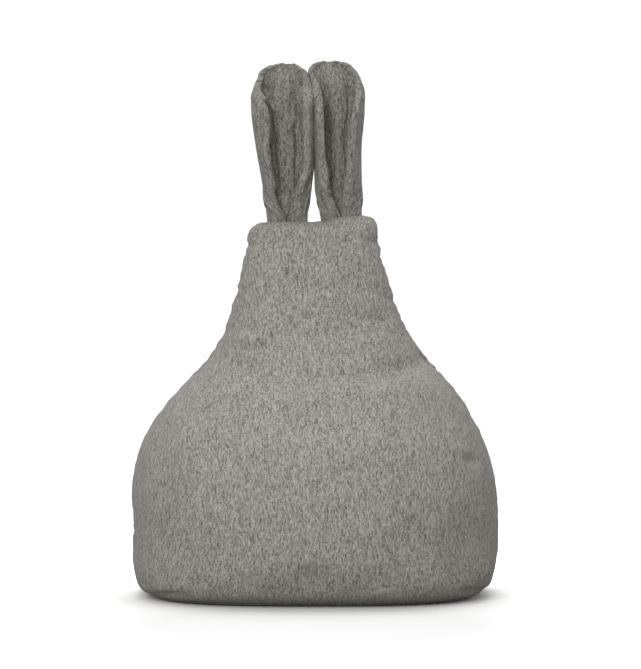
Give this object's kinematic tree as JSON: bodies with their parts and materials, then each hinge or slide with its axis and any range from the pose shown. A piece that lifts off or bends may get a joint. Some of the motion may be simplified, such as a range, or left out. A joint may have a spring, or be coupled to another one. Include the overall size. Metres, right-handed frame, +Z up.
{
  "type": "bean bag chair",
  "caption": "Soft pear-shaped floor seat for a child: a sewn, bead-filled cover with a raised back and stuffed standing ears.",
  "frame": {"origin": "on the floor, under the middle of the body", "axes": "+Z up, the seat faces -Y, +X to the right of someone who looks at the seat from the front"},
  "size_m": [0.6198, 0.6026, 0.903],
  "materials": {
    "cover_cloth": "matte linen-look weave",
    "ear_cloth": "matte linen-look weave",
    "wadding": "matte polyester fibre",
    "zip_tape": "matte woven tape",
    "zip_coil": "satin nylon",
    "zip_metal": "satin plated zinc alloy",
    "label_cloth": "satin woven ribbon",
    "liner_cloth": "matte spun-bonded cloth",
    "beads": "expanded polystyrene beads"
  },
  "bodies": {
    "cover": {"front_panel": "cover_cloth", "back_left_panel": "cover_cloth", "back_right_panel": "cover_cloth", "base_panel": "cover_cloth", "cover_zip_tape_left": "zip_tape", "cover_zip_tape_right": "zip_tape", "cover_zip_coil_left": "zip_coil", "cover_zip_coil_right": "zip_coil", "cover_zip_top_stop": "zip_metal", "cover_zip_bottom_stop": "zip_metal", "care_label": "label_cloth", "liner_front_panel": "liner_cloth", "liner_back_panel": "liner_cloth", "liner_base_panel": "liner_cloth", "liner_zip_tape_front": "zip_tape", "liner_zip_tape_back": "zip_tape", "liner_zip_coil_front": "zip_coil", "liner_zip_coil_back": "zip_coil", "liner_zip_stop_left": "zip_metal", "liner_zip_stop_right": "zip_metal", "bead_fill": "beads"},
    "ear_left": {"ear_left_back_leaf": "ear_cloth", "ear_left_wadding": "wadding", "ear_left_front_leaf": "ear_cloth"},
    "ear_right": {"ear_right_back_leaf": "ear_cloth", "ear_right_wadding": "wadding", "ear_right_front_leaf": "ear_cloth"},
    "zip_slider": {"cover_zip_slider": "zip_metal"},
    "zip_pull": {"cover_zip_pull": "zip_metal"},
    "liner_slider": {"liner_zip_slider": "zip_metal"}
  },
  "joints": [
    {"name": "ear_left_flop", "type": "hinge", "parent": "cover", "child": "ear_left", "pos_m": [0, 0.075, 0.64], "axis": [1, 0, 0], "range_deg": [-80, 80], "stiffness_Nm_per_rad": 0.3},
    {"name": "ear_right_flop", "type": "hinge", "parent": "cover", "child": "ear_right", "pos_m": [0, 0.075, 0.64], "axis": [1, 0, 0], "range_deg": [-80, 80], "stiffness_Nm_per_rad": 0.3},
    {"name": "cover_zip_run", "type": "hinge", "parent": "cover", "child": "zip_slider", "pos_m": [0, -0.13, 0.15], "axis": [1, 0, 0], "range_deg": [0, 44.5]},
    {"name": "zip_pull_swing", "type": "hinge", "parent": "zip_slider", "child": "zip_pull", "pos_m": [0, 0.29742, 0.07131], "axis": [1, 0, 0], "range_deg": [-15, 160]},
    {"name": "liner_zip_run", "type": "slide", "parent": "cover", "child": "liner_slider", "axis": [1, 0, 0], "range_m": [0, 0.278]}
  ]
}
